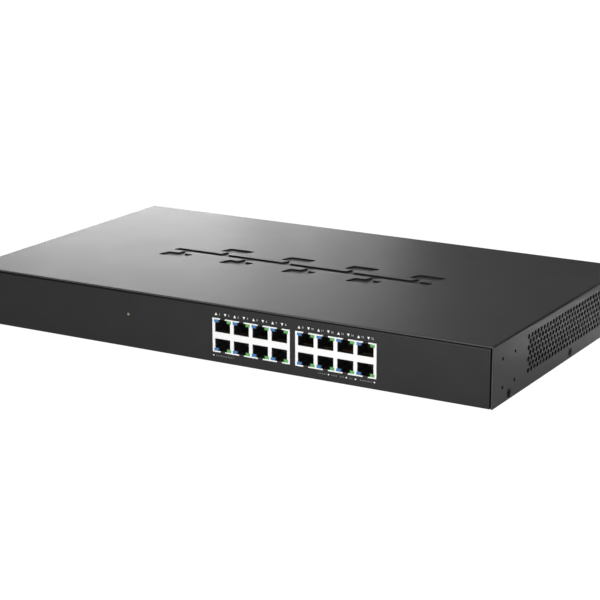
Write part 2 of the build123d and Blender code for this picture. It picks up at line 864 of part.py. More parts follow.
inlet_mouth = y_rear + inlet_flange[2]
inlet_bottom = inlet_mouth - inlet_cavity_depth

with BuildPart() as ac_inlet:
    with BuildSketch(facing_back(y_rear)):
        with Locations((-inlet_x, inlet_z)):
            RectangleRounded(inlet_flange[0], inlet_flange[1], inlet_flange_corner)
    extrude(amount=inlet_flange[2])
    for side in (-1, 1):
        x = inlet_x + side * inlet_screw_spacing / 2
        with Locations(Plane((x, inlet_mouth, inlet_z), z_dir=(0, 1, 0))):
            CounterSinkHole(screw_radius + 2 * slip, screw_head_radius + slip, 2 * inlet_flange[2], 90)
    with BuildSketch(facing_back(y_rear)):
        with Locations((-inlet_x, inlet_z)):
            RectangleRounded(inlet_body[0], inlet_body[1], inlet_body_corner)
    extrude(amount=-inlet_body_depth)
    # Plug cavity with its two cut corners
    with BuildSketch(facing_back(inlet_mouth)) as cavity_face:
        with Locations((-inlet_x, inlet_z)):
            Rectangle(inlet_cavity[0], inlet_cavity[1])
        chamfer(cavity_face.vertices().group_by(Axis.Y)[-1], inlet_cavity_cut)
    extrude(amount=-inlet_cavity_depth, mode=Mode.SUBTRACT)
    # Slots that the pins pass through
    with BuildSketch(facing_back(inlet_bottom)):
        for x, z in inlet_pin_places:
            with Locations((-inlet_x + x, inlet_z + z)):
                Rectangle(inlet_pin[0] + 2 * slip, inlet_pin[1] + 2 * slip)
    extrude(amount=-inlet_body_depth, mode=Mode.SUBTRACT)
ac_inlet.part.label = "ac_inlet"
export_step(ac_inlet.part, "parts/ac_inlet.step")

with BuildPart() as inlet_pins:
    pin_tip = inlet_mouth - inlet_pin_recess
    with BuildSketch(facing_back(pin_tip)):
        for x, z in inlet_pin_places:
            with Locations((-inlet_x + x, inlet_z + z)):
                Rectangle(*inlet_pin)
    extrude(amount=pin_tab_end - pin_tip)
inlet_pins.part.label = "inlet_pins"
export_step(inlet_pins.part, "parts/inlet_pins.step")

with BuildPart() as inlet_screws:
    for side in (-1, 1):
        x = inlet_x + side * inlet_screw_spacing / 2
        head_face = Plane((x, inlet_mouth - slip, inlet_z), z_dir=(0, -1, 0))
        countersunk_screw(head_face, screw_head_radius - screw_radius)
inlet_screws.part.label = "inlet_screws"
export_step(inlet_screws.part, "parts/inlet_screws.step")

with BuildPart() as inlet_nuts:
    with BuildSketch(facing_back(y_rear - sheet)):
        with Locations((-inlet_x, inlet_z)):
            with GridLocations(inlet_screw_spacing, 0, 2, 1):
                RegularPolygon(inlet_nut[0], 6)
                Circle(screw_radius + slip, mode=Mode.SUBTRACT)
    extrude(amount=-inlet_nut[1])
inlet_nuts.part.label = "inlet_nuts"
export_step(inlet_nuts.part, "parts/inlet_nuts.step")

# Live and neutral drop from the two lower pins to the power board
for name, (x, z) in zip(("live_wire", "neutral_wire"), inlet_pin_places):
    with BuildPart() as drop_wire:
        drop_y = pin_tab_end - wire_drop
        pin_x = inlet_x + x
        pin_z = inlet_z + z
        wire_along(
            [(pin_x, pin_tab_end, pin_z), (pin_x, drop_y, pin_z), (pin_x, drop_y, seat)],
            wire_turn,
            wire_radius,
        )
    drop_wire.part.label = name
    export_step(drop_wire.part, f"parts/{name}.step")

# ---------------------------------------------------------------- earth connection

ring_front = y_rear - sheet - earth_ring_sheet

with BuildPart() as earth_screw:
    with BuildSketch(facing_back(y_rear)):
        with Locations((-earth_x, earth_z)):
            Circle(earth_head[0])
    extrude(amount=earth_head[1])
    fillet(earth_screw.edges().group_by(Axis.Y)[-1], earth_head_edge)
    with BuildSketch(facing_back(y_rear)):
        with Locations((-earth_x, earth_z)):
            Circle(earth_radius)
    extrude(amount=-earth_length)
    with BuildSketch(facing_back(y_rear + earth_head[1])):
        with Locations((-earth_x, earth_z)):
            Rectangle(earth_cross[0], earth_cross[1])
            Rectangle(earth_cross[1], earth_cross[0])
    extrude(amount=-earth_cross[2], mode=Mode.SUBTRACT)
earth_screw.part.label = "earth_screw"
export_step(earth_screw.part, "parts/earth_screw.step")

with BuildPart() as earth_ring:
    with BuildSketch(facing_back(y_rear - sheet)):
        with Locations((-earth_x, earth_z)):
            Circle(earth_ring_radius)
        with Locations((-earth_x, earth_z + earth_tongue[1])):
            Rectangle(*earth_tongue)
        with Locations((-earth_x, earth_z)):
            Circle(earth_radius + slip, mode=Mode.SUBTRACT)
    extrude(amount=-earth_ring_sheet)
earth_ring.part.label = "earth_ring"
export_step(earth_ring.part, "parts/earth_ring.step")

with BuildPart() as earth_nut:
    with BuildSketch(facing_back(ring_front)):
        with Locations((-earth_x, earth_z)):
            RegularPolygon(earth_nut_size[0], 6)
            Circle(earth_radius + slip, mode=Mode.SUBTRACT)
    extrude(amount=-earth_nut_size[1])
earth_nut.part.label = "earth_nut"
export_step(earth_nut.part, "parts/earth_nut.step")

with BuildPart() as earth_wire:
    pin_x = inlet_x + inlet_pin_places[2][0]
    pin_z = inlet_z + inlet_pin_places[2][1]
    lug_z = earth_z + earth_lug_rise
    wire_along(
        [
            (pin_x, pin_tab_end, pin_z),
            (pin_x, pin_tab_end - 2 * wire_turn, pin_z),
            (earth_x, pin_tab_end - 2 * wire_turn, lug_z),
            (earth_x, ring_front, lug_z),
        ],
        wire_turn,
        wire_radius,
    )
earth_wire.part.label = "earth_wire"
export_step(earth_wire.part, "parts/earth_wire.step")
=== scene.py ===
import json
import math

import bmesh
import bpy
from mathutils import Matrix, Vector
from mathutils.geometry import delaunay_2d_cdt


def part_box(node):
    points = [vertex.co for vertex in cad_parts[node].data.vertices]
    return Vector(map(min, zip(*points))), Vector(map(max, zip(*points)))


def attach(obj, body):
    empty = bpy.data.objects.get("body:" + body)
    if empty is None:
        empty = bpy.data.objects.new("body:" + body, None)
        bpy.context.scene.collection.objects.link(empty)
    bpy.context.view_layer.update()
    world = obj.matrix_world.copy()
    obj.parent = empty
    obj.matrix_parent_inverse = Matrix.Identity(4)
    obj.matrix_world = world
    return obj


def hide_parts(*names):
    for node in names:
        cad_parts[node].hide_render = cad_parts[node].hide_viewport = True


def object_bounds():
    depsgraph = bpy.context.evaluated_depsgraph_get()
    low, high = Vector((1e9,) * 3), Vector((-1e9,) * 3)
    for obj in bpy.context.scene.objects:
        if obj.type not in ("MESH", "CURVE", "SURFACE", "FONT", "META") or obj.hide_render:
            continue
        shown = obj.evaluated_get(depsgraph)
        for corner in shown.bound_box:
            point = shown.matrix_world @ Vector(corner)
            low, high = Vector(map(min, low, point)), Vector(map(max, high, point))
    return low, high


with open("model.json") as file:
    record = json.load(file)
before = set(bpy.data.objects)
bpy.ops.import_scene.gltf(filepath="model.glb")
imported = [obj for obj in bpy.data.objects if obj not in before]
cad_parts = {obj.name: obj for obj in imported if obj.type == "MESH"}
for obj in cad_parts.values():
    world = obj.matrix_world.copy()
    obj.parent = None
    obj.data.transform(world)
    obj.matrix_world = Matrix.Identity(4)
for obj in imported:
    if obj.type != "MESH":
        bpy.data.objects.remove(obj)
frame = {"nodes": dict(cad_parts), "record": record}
cad_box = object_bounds()

MM = 0.001
ROOT = "root"

# ------------------------------------------------------------------ sizes, from the frame

cover_low, cover_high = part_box("top_cover")
pan_low, pan_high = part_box("base_pan")
HALF_WIDTH = cover_high.x
HALF_DEPTH = cover_high.y
HEIGHT = cover_high.z
LIFT = cover_low.z
PANEL_Y = pan_low.y
REAR_Y = pan_high.y
PANEL_TOP = pan_high.z
FLANGE_HALF = pan_high.x

SHEET = 1.2 * MM
BEND = 1.4 * MM
EDGE = 0.14 * MM
COVER_EDGE = 0.38 * MM
PANEL_HALF = FLANGE_HALF - 1.0 * MM
PANEL_LIP = 8.0 * MM

VENT_RADIUS = 1.85 * MM
VENT_PITCH_Y = 5.4 * MM
VENT_PITCH_Z = 4.03 * MM
VENT_COLUMNS = 30
VENT_ROWS = 7
VENT_MIDDLE = (13.0 * MM, 24.3 * MM)

EAR_MIDDLE = (25.4 * MM - HALF_DEPTH, 21.85 * MM)
EAR_SPACING = 20.0 * MM
EAR_RADIUS = 1.3 * MM
EAR_HOLES = [
    (EAR_MIDDLE[0] + y, EAR_MIDDLE[1] + z)
    for y in (-EAR_SPACING / 2, EAR_SPACING / 2)
    for z in (-EAR_SPACING / 2, EAR_SPACING / 2)
]
SCREW_Z = 5.0 * MM
SCREW_YS = (-97.3 * MM, 11.0 * MM, 103.5 * MM)
SCREW_HEAD = 2.9 * MM
SCREW_SHANK = 1.5 * MM
SCREW_HOLE = SCREW_SHANK + 0.2 * MM
SCREW_CLEAR = SCREW_SHANK + 0.1 * MM
SCREW_LENGTH = 6.0 * MM
SCREW_ROOM = 0.05 * MM
SCREW_SINK = 0.45 * MM
SCREW_CROSS = (3.4 * MM, 0.8 * MM)
ROUND_SIDES = 32
WELD = 0.002 * MM
LEAST_RADIUS = 0.01 * MM
FOLD_STEPS = 10

MOTIF_DEPTH = 1.0 * MM
MOTIF_LENGTH = 225.0 * MM
MOTIF_LINE = 6.0 * MM
MOTIF_NODES = 8
MOTIF_PITCH = 28.0 * MM
MOTIF_NODE = (22.0 * MM, 11.0 * MM)
MOTIF_REACH = 21.5 * MM
MOTIF_LEAN = 0.3

PORT_PITCH = 15.7 * MM
PORT_COLUMNS = 4
WINDOW = (12.7 * MM, 9.3 * MM)
WINDOW_BAR = 4.85 * MM
KEY_WIDTH = 4.1 * MM
KEY_DEPTH = 3.0 * MM
LIGHT_CORNER = (14.3 * MM, 2.1 * MM)
SHIELD_SHEET = 0.4 * MM

# ------------------------------------------------------------------ outlines in a flat plane


def circle(x, y, radius, count=24):
    """Outline maker for a round hole: called with how far to grow it."""
    turn = [2 * math.pi * i / count for i in range(count)]
    return lambda grow: [
        (x + (radius + grow) * math.cos(a), y + (radius + grow) * math.sin(a)) for a in turn
    ]


def rounded(corners, radius, steps=4):
    """Outline maker for a polygon of right-angled corners, given anticlockwise, with round corners."""

    def grown(grow):
        found = []
        count = len(corners)
        for i, (x, y) in enumerate(corners):
            before, after = corners[i - 1], corners[(i + 1) % count]
            into = Vector((x - before[0], y - before[1])).normalized()
            away = Vector((after[0] - x, after[1] - y)).normalized()
            convex = into.x * away.y - into.y * away.x > 0
            moved = Vector((x, y)) + grow * (Vector((into.y, -into.x)) + Vector((away.y, -away.x)))
            r = max(radius + grow if convex else radius - grow, LEAST_RADIUS)
            centre = moved - r * into + r * away
            for k in range(steps + 1):
                a = math.pi / 2 * k / steps
                found.append(tuple(centre + r * math.sin(a) * into - r * math.cos(a) * away))
        return found

    return grown


def rounded_box(x, y, width, height, radius, steps=4):
    """Outline maker for a rectangle with round corners."""
    w, h = width / 2, height / 2
    return rounded([(x - w, y - h), (x + w, y - h), (x + w, y + h), (x - w, y + h)], radius, steps)


def leaning(outline, lean):
    """The same outline with its far side pushed over."""
    return lambda grow: [(x + lean * y, y) for x, y in outline(grow)]


# ------------------------------------------------------------------ mesh gathered ring by ring


class Sheet:
    """A mesh in flat coordinates: across, along and out of the face. build() sets it in place."""

    def __init__(self):
        self.points = []
        self.faces = []

    def ring(self, outline, out):
        start = len(self.points)
        self.points += [(x, y, out) for x, y in outline]
        return list(range(start, len(self.points)))

    def band(self, one, two):
        count = len(one)
        for i in range(count):
            j = (i + 1) % count
            self.faces.append((one[i], one[j], two[j], two[i]))

    def bands(self, outline, steps):
        """Rings at each (grow, out) step, joined up. Gives the first and the last ring."""
        rings = [self.ring(outline(grow), out) for grow, out in steps]
        for one, two in zip(rings, rings[1:]):
            self.band(one, two)
        return rings[0], rings[-1]

    def skin(self, outer, holes=()):
        """Flat face between one outer ring and any holes."""
        used = list(outer) + [i for hole in holes for i in hole]
        home = {}
        edges = []
        start = 0
        for number, ring in enumerate([outer, *holes]):
            count = len(ring)
            edges += [(start + i, start + (i + 1) % count) for i in range(count)]
            home.update({start + i: number for i in range(count)})
            start += count
        flat = [Vector(self.points[i][:2]) / MM for i in used]
        points, _, faces, sources, _, _ = delaunay_2d_cdt(flat, edges, [], 1, 1e-6)
        outlines = [[flat[i] for i in home if home[i] == n] for n in range(len(holes) + 1)]
        for face in faces:
            corners = [sources[i][0] for i in face]
            rings = {home[c] for c in corners}
            if len(rings) == 1 and rings != {0}:
                middle = sum((flat[c] for c in corners), Vector((0, 0))) / 3
                if inside(middle, outlines[rings.pop()]):
                    continue
            self.faces.append(tuple(used[c] for c in corners))

    def build(self, place):
        mesh = bpy.data.meshes.new("sheet")
        mesh.from_pydata([place(*p) for p in self.points], [], self.faces)
        work = bmesh.new()
        work.from_mesh(mesh)
        bmesh.ops.remove_doubles(work, verts=work.verts, dist=WELD)
        bmesh.ops.recalc_face_normals(work, faces=work.faces)
        work.to_mesh(mesh)
        work.free()
        return mesh


def inside(point, outline):
    """Whether a point is within a closed outline."""
    found = False
    for (x0, y0), (x1, y1) in zip(outline, outline[1:] + outline[:1]):
        if (y0 > point[1]) != (y1 > point[1]):
            if point[0] < x0 + (point[1] - y0) * (x1 - x0) / (y1 - y0):
                found = not found
    return found


def rim(thickness, edge=EDGE, count=2):
    """Steps over the cut edge of a sheet, its corners rounded to a radius."""
    turn = [math.pi / 2 * k / count for k in range(count + 1)]
    upper = [(edge * (math.sin(a) - 1), edge * (math.cos(a) - 1)) for a in turn]
    return upper + [(grow, -thickness - out) for grow, out in reversed(upper)]


def hole_rim(thickness):
    """The same steps, for the edge of a hole."""
    return [(-grow, out) for grow, out in rim(thickness)]


def countersink(thickness, wide, narrow):
    """Steps down a countersunk hole whose outline is its wide end."""
    depth = min(wide - narrow, thickness - 0.02 * MM)
    return [(0.06 * MM, 0.0), (0.0, -0.04 * MM), (-depth, -depth), (narrow - wide, -thickness)]


def pressed(depth):
    """Steps into a pressed recess, with soft shoulders and a soft foot."""
    return [
        (0.4 * MM, 0.0),
        (0.18 * MM, -0.06 * depth),
        (0.0, -0.22 * depth),
        (-0.32 * MM, -0.74 * depth),
        (-0.54 * MM, -0.94 * depth),
        (-0.8 * MM, -depth),
    ]


def walls(sheet, cuts, thickness):
    """Walls of the cuts, each (outline, steps). Gives their rings in the upper and lower face."""
    upper, lower = [], []
    for outline, steps in cuts:
        first, last = sheet.bands(outline, steps)
        upper.append(first)
        if steps[-1][1] <= -thickness:
            lower.append(last)
        else:
            sheet.skin(last)
    return upper, lower


def plate(sheet, corners, cuts, thickness):
    """Both faces of one flat stretch between two corners, with its cuts."""
    (x0, y0), (x1, y1) = corners
    upper, lower = walls(sheet, cuts, thickness)
    square = [(x0, y0), (x1, y0), (x1, y1), (x0, y1)]
    sheet.skin(sheet.ring(square, 0.0), upper)
    sheet.skin(sheet.ring(square, -thickness), lower)


def fold_path(start, heading, legs, turn, radius):
    """Path of a folded sheet's outer face: straight legs with a right-angled fold between each two.

    Gives a function from (distance, out) to a point, the distances where the mesh needs a
    line, and the span of each straight leg. turn is 1 to fold to the left, -1 to the right.
    """
    spans, folds, stations = [], [], [0.0]
    at, point, head = 0.0, Vector(start), Vector(heading)
    for number, leg in enumerate(legs):
        out = -turn * Vector((-head.y, head.x))
        spans.append((at, at + leg, point.copy(), head.copy(), out))
        at += leg
        point = point + leg * head
        if number < len(legs) - 1:
            arc = radius * math.pi / 2
            folds.append((at, at + arc, point - radius * out, out))
            stations += [at + arc * k / FOLD_STEPS for k in range(FOLD_STEPS + 1)]
            point = point - radius * out + radius * head
            at += arc
            head = turn * Vector((-head.y, head.x))
    stations.append(at)

    def place(distance, out):
        for a, b, centre, normal in folds:
            if a < distance < b:
                angle = turn * (distance - a) / radius
                c, s = math.cos(angle), math.sin(angle)
                along = Vector((c * normal.x - s * normal.y, s * normal.x + c * normal.y))
                return centre + (radius + out) * along
        # A point just past either end still lies on the first or the last leg
        near = [s for s in spans if distance <= s[1] + 1e-9] or spans[-1:]
        a, _, origin, direction, normal = near[0]
        return origin + (distance - a) * direction + out * normal

    return place, stations, [(a, b) for a, b, _, _, _ in spans]


def folded_sheet(path, half, cuts_on, edge=EDGE, count=2):
    """Steel sheet folded along a path and running from -half to half across it."""
    _, stations, legs = path
    ends = (stations[0], stations[-1])
    side = half - edge
    sheet = Sheet()

    def perimeter(grow):
        shifted = [ends[0] - grow] + stations[1:-1] + [ends[1] + grow]
        low = [(u, -half - grow) for u in shifted]
        return low + [(u, half + grow) for u in reversed(shifted)]

    sheet.bands(perimeter, rim(SHEET, edge, count))
    for number, (a, b) in enumerate(legs):
        a = a + edge if number == 0 else a
        b = b - edge if number == len(legs) - 1 else b
        plate(sheet, ((a, -side), (b, side)), cuts_on.get(number, []), SHEET)
    legged = [(round(a, 9), round(b, 9)) for a, b in legs]
    for a, b in zip(stations, stations[1:]):
        if (round(a, 9), round(b, 9)) in legged:
            continue
        for out in (0.0, -SHEET):
            strip = sheet.ring([(a, -side), (b, -side), (b, side), (a, side)], out)
            sheet.faces.append(tuple(strip))
    return sheet


def flat_piece(outline, cuts, thickness, edge=EDGE):
    """Flat plate with any outline and its cuts."""
    sheet = Sheet()
    first, last = sheet.bands(outline, rim(thickness, edge))
    upper, lower = walls(sheet, cuts, thickness)
    sheet.skin(first, upper)
    sheet.skin(last, lower)
    return sheet


def cross(long, short):
    """Outline maker for the cross recess of a screw."""
    a, b = long / 2, short / 2
    corners = [(-a, -b), (-b, -b), (-b, -a), (b, -a), (b, -b), (a, -b),
               (a, b), (b, b), (b, a), (-b, a), (-b, b), (-a, b)]
    return rounded(corners, 0.12 * MM, 2)


def screw_sheet(profile, recess, recess_depth):
    """Turned screw: circles down a profile of (radius, out), with a cross recess on top."""
    sheet = Sheet()
    rings = [sheet.ring(circle(0, 0, radius, ROUND_SIDES)(0), out) for radius, out in profile]
    for one, two in zip(rings, rings[1:]):
        sheet.band(one, two)
    top = profile[0][1]
    steps = [(0.05 * MM, top), (0, top - 0.05 * MM), (-0.1 * MM, top - recess_depth)]
    first, last = sheet.bands(cross(*recess), steps)
    sheet.skin(rings[0], [first])
    sheet.skin(last)
    sheet.skin(rings[-1])
    return sheet


# ------------------------------------------------------------------ materials

# Pale colour for the coat's cut edges at the front and back: a painted highlight
PAINTED_EDGE_HIGHLIGHT = (0.06, 0.06, 0.061)
PATCH = 25.0


def surface(name, colour, roughness, grain=0.4, relief=0.02, mottle=0.12, rub=0.06,
            metallic=0.0, specular=0.5, glow=None, glow_strength=0.0, stretch=None, highlight_past=None):
    """Material whose colour, roughness and relief vary with two sizes of noise.

    grain and PATCH are the sizes of the fine and the broad variation, and relief is the
    height of the grain, all in millimetres. Cut edges further along Y than the last
    argument, in metres, are painted pale as a highlight.
    """
    made = bpy.data.materials.new(name)
    made.use_nodes = True
    nodes, links = made.node_tree.nodes, made.node_tree.links
    nodes.clear()
    output = nodes.new("ShaderNodeOutputMaterial")
    shader = nodes.new("ShaderNodeBsdfPrincipled")
    links.new(shader.outputs["BSDF"], output.inputs["Surface"])
    shader.inputs["Metallic"].default_value = metallic
    shader.inputs["Specular IOR Level"].default_value = specular
    place = nodes.new("ShaderNodeTexCoord")
    source = place.outputs["Object"]
    if stretch:
        mapping = nodes.new("ShaderNodeMapping")
        mapping.inputs["Scale"].default_value = stretch
        links.new(source, mapping.inputs["Vector"])
        source = mapping.outputs["Vector"]

    def noise(size, detail):
        made_noise = nodes.new("ShaderNodeTexNoise")
        made_noise.inputs["Scale"].default_value = 1 / (size * MM)
        made_noise.inputs["Detail"].default_value = detail
        links.new(source, made_noise.inputs["Vector"])
        return made_noise.outputs["Fac"]

    def spread(value, low, high):
        mapped = nodes.new("ShaderNodeMapRange")
        mapped.inputs["From Min"].default_value = 0.3
        mapped.inputs["From Max"].default_value = 0.7
        mapped.inputs["To Min"].default_value = low
        mapped.inputs["To Max"].default_value = high
        links.new(value, mapped.inputs["Value"])
        return mapped.outputs["Result"]

    fine, broad = noise(grain, 3.0), noise(PATCH, 4.0)
    shades = nodes.new("ShaderNodeMix")
    shades.data_type = "RGBA"
    shades.inputs["A"].default_value = (*[c * (1 - mottle) for c in colour], 1)
    shades.inputs["B"].default_value = (*[min(1.0, c * (1 + mottle)) for c in colour], 1)
    blend = nodes.new("ShaderNodeMath")
    blend.operation = "ADD"
    blend.use_clamp = True
    links.new(spread(fine, 0.0, 0.6), blend.inputs[0])
    links.new(spread(broad, 0.0, 0.4), blend.inputs[1])
    links.new(blend.outputs["Value"], shades.inputs["Factor"])
    tint = shades.outputs["Result"]
    # Painted highlight: the coat's cut edges at the front and back ends are coloured pale
    if highlight_past:
        axes = nodes.new("ShaderNodeSeparateXYZ")
        links.new(place.outputs["Object"], axes.inputs["Vector"])
        reach = nodes.new("ShaderNodeMath")
        reach.operation = "ABSOLUTE"
        links.new(axes.outputs["Y"], reach.inputs[0])
        cut = nodes.new("ShaderNodeMath")
        cut.operation = "GREATER_THAN"
        cut.inputs[1].default_value = highlight_past
        links.new(reach.outputs["Value"], cut.inputs[0])
        edge_highlight = nodes.new("ShaderNodeMix")
        edge_highlight.data_type = "RGBA"
        edge_highlight.inputs["B"].default_value = (*PAINTED_EDGE_HIGHLIGHT, 1)
        links.new(tint, edge_highlight.inputs["A"])
        links.new(cut.outputs["Value"], edge_highlight.inputs["Factor"])
        tint = edge_highlight.outputs["Result"]
    links.new(tint, shader.inputs["Base Color"])
    links.new(spread(broad, roughness - rub, roughness + rub), shader.inputs["Roughness"])
    bump = nodes.new("ShaderNodeBump")
    bump.inputs["Strength"].default_value = 1.0
    bump.inputs["Distance"].default_value = relief * MM
    links.new(fine, bump.inputs["Height"])
    links.new(bump.outputs["Normal"], shader.inputs["Normal"])
    if glow:
        shader.inputs["Emission Color"].default_value = (*glow, 1)
        shader.inputs["Emission Strength"].default_value = glow_strength
    return made


# name of the record's slot: how it looks
LOOKS = {
    # The coat carries a painted highlight on its cut edges at the front and back
    "black_powder_coat": surface(
        "powder_coat", (0.013, 0.013, 0.0135), 0.42, grain=0.8, relief=0.03, mottle=0.3, rub=0.01,
        specular=0.3, highlight_past=HALF_DEPTH - 0.12 * MM),
    # Black screw heads, darker still as painted shade of a countersunk recess deeper than the sheet
    # allows
    "black_screw": surface("black_zinc_and_painted_shade", (0.004, 0.004, 0.005), 0.45, grain=0.3, specular=0.1),
    "tin_plate": surface(
        "tin_plate", (0.9, 0.9, 0.89), 0.4, grain=0.5, relief=0.004, mottle=0.03, metallic=0.2),
    "black_moulding": surface("black_moulding", (0.013, 0.013, 0.014), 0.5, grain=0.25, relief=0.01),
    # Darker than gold: painted shade for the contacts deep inside the jacks
    "gold_contact": surface(
        "shaded_gold_plate", (0.18, 0.12, 0.05), 0.4, grain=0.2, relief=0.002, metallic=1.0),
    "blue_light": surface(
        "blue_light", (0.01, 0.03, 0.06), 0.3, grain=0.6, relief=0.01,
        glow=(0.08, 0.4, 1.0), glow_strength=0.38),
    "green_light": surface(
        "green_light", (0.02, 0.06, 0.02), 0.3, grain=0.6, relief=0.01,
        glow=(0.22, 1.0, 0.2), glow_strength=0.34),
    "clear_light": surface(
        "clear_light", (0.2, 0.21, 0.13), 0.4, grain=0.5, relief=0.01,
        glow=(0.5, 0.65, 0.2), glow_strength=0.04),
    "circuit_board": surface(
        "solder_mask", (0.01, 0.12, 0.045), 0.35, grain=1.6, relief=0.01, mottle=0.35),
    "power_board": surface(
        "paper_laminate", (0.36, 0.24, 0.1), 0.6, grain=0.7, relief=0.01, mottle=0.2),
    "plated_steel": surface(
        "zinc_plate", (0.6, 0.6, 0.58), 0.32, grain=0.4, relief=0.006, metallic=1.0),
    "insulator_sheet": surface("polyester_film", (0.02, 0.02, 0.025), 0.3, grain=2.0, relief=0.01),
    "chip_package": surface("epoxy", (0.015, 0.015, 0.017), 0.55, grain=0.2, relief=0.01),
    "thermal_pad": surface("silicone_pad", (0.3, 0.36, 0.44), 0.8, grain=0.6, relief=0.03),
    "anodised_sink": surface(
        "anodised_sink", (0.4, 0.41, 0.42), 0.4, grain=0.6, relief=0.008, metallic=1.0,
        stretch=(1, 0.1, 1)),
    "ferrite": surface("ferrite", (0.05, 0.05, 0.054), 0.6, grain=0.3, relief=0.02),
    "capacitor_can": surface("drawn_can", (0.7, 0.7, 0.7), 0.3, grain=0.6, relief=0.004, metallic=1.0),
    "capacitor_sleeve": surface("shrunk_sleeve", (0.02, 0.025, 0.09), 0.3, grain=1.2, relief=0.01),
    "white_moulding": surface("nylon", (0.7, 0.69, 0.62), 0.5, grain=0.4, relief=0.01, mottle=0.06),
    "red_wire": surface("red_insulation", (0.4, 0.02, 0.015), 0.4, grain=0.8, relief=0.01),
    "brown_wire": surface("brown_insulation", (0.12, 0.045, 0.02), 0.4, grain=0.8, relief=0.01),
    "blue_wire": surface("blue_insulation", (0.02, 0.07, 0.35), 0.4, grain=0.8, relief=0.01),
    "green_wire": surface(
        "green_insulation", (0.08, 0.3, 0.04), 0.4, grain=2.5, relief=0.01, mottle=0.5),
    "fuse_body": surface("fuse_ceramic", (0.7, 0.67, 0.58), 0.35, grain=0.6, relief=0.006),
    "yellow_case": surface("film_case", (0.65, 0.42, 0.05), 0.5, grain=0.4, relief=0.01),
    "copper_winding": surface(
        "enamelled_copper", (0.5, 0.2, 0.08), 0.28, grain=0.9, relief=0.08, metallic=0.9,
        stretch=(1, 1, 0.1)),
    "yellow_tape": surface("wound_tape", (0.7, 0.52, 0.08), 0.35, grain=1.0, relief=0.02),
    "brass_pin": surface(
        "nickel_brass", (0.68, 0.64, 0.52), 0.25, grain=0.4, relief=0.003, metallic=1.0),
}
SLOT_OF = {entry["node"]: entry["material_slot"] for entry in frame["record"]["subparts"]}
INK = surface("white_ink", (0.85, 0.85, 0.84), 0.6, grain=0.25, relief=0.006, mottle=0.06)
PALE_INK = surface("pale_ink", (0.6, 0.6, 0.6), 0.6, grain=0.25, relief=0.006, mottle=0.1)
FAINT_INK = surface("faint_ink", (0.16, 0.16, 0.16), 0.6, grain=0.25, relief=0.006, mottle=0.1)

for node, thing in frame["nodes"].items():
    thing.data.materials.clear()
    thing.data.materials.append(LOOKS[SLOT_OF[node]])

# ------------------------------------------------------------------ putting pieces in the scene

CREASE = math.radians(35.0)


def show(name, mesh, look):
    """Adds a piece, shaded smooth up to a crease, riding on the housing."""
    mesh.name = name
    thing = bpy.data.objects.new(name, mesh)
    bpy.context.scene.collection.objects.link(thing)
    mesh.materials.append(look)
    mesh.shade_smooth()
    mesh.set_sharp_from_angle(angle=CREASE)
    weigh = thing.modifiers.new("flat_faces_first", "WEIGHTED_NORMAL")
    weigh.keep_sharp = True
    weigh.weight = 100
    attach(thing, ROOT)
    return thing


def show_node(name, mesh, node):
    """Adds a piece that stands for a CAD node, in that node's material."""
    thing = show(name, mesh, LOOKS[SLOT_OF[node]])
    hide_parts(node)


def joined(meshes):
    """Several meshes as one."""
    work = bmesh.new()
    for mesh in meshes:
        work.from_mesh(mesh)
    whole = bpy.data.meshes.new("joined")
    work.to_mesh(whole)
    work.free()
    return whole


# Each of these gives a function that sets flat coordinates on a plane, with out along its normal
def facing_front(y):
    return lambda u, v, out: Vector((u, y - out, v))


def facing_back(y):
    return lambda u, v, out: Vector((u, y + out, v))


def facing_side(x, side):
    return lambda u, v, out: Vector((x + side * out, u, v))


def facing_up(z):
    return lambda u, v, out: Vector((u, v, z + out))


# ------------------------------------------------------------------ top cover


def motif_corners():
    """Right-angled corners of a bus line with nodes hung above and below it in turn."""
    line = MOTIF_LINE / 2
    near = MOTIF_REACH - MOTIF_NODE[1]
    places = [(i - (MOTIF_NODES - 1) / 2) * MOTIF_PITCH for i in range(MOTIF_NODES)]
    corners = []
    for up in (-1, 1):
        corners.append((up * MOTIF_LENGTH / 2, up * line))
        hung = [x for i, x in enumerate(places) if (i % 2 == 1) == (up > 0)]
        for x in sorted(hung, reverse=up > 0):
            for side, reach in ((1, line), (1, near), (2, near), (2, MOTIF_REACH)):
                across = line if side == 1 else MOTIF_NODE[0] / 2
                corners.append((x + up * across, up * reach))
            for side, reach in ((2, MOTIF_REACH), (2, near), (1, near), (1, line)):
                across = line if side == 1 else MOTIF_NODE[0] / 2
                corners.append((x - up * across, up * reach))
        corners.append((up * -MOTIF_LENGTH / 2, up * line))
    return corners


def moved(outline, dx, dy):
    return lambda grow: [(x + dx, y + dy) for x, y in outline(grow)]


side_leg = HEIGHT - BEND - LIFT
cover_path = fold_path(
    (-HALF_WIDTH, LIFT), (0, 1), [side_leg, 2 * (HALF_WIDTH - BEND), side_leg], -1, BEND)
left_span, lid_span, right_span = cover_path[2]

side_cuts = {}
for number, to_distance in (
    (0, lambda z: left_span[0] + z - LIFT),
    (2, lambda z: right_span[0] + HEIGHT - BEND - z),
):
    cuts = []
    for row in range(VENT_ROWS):
        z = VENT_MIDDLE[1] + (row - (VENT_ROWS - 1) / 2) * VENT_PITCH_Z
        columns = VENT_COLUMNS - row % 2
        for column in range(columns):
            y = VENT_MIDDLE[0] + (column - (columns - 1) / 2) * VENT_PITCH_Y
            cuts.append((circle(to_distance(z), y, VENT_RADIUS), hole_rim(SHEET)))
    for y, z in EAR_HOLES:
        cuts.append((circle(to_distance(z), y, EAR_RADIUS), hole_rim(SHEET)))
    for y in SCREW_YS:
        wide = SCREW_HEAD + SCREW_SINK + SCREW_ROOM
        seat = circle(to_distance(SCREW_Z), y, wide, ROUND_SIDES)
        cuts.append((seat, countersink(SHEET, wide, SCREW_HOLE)))
    side_cuts[number] = cuts

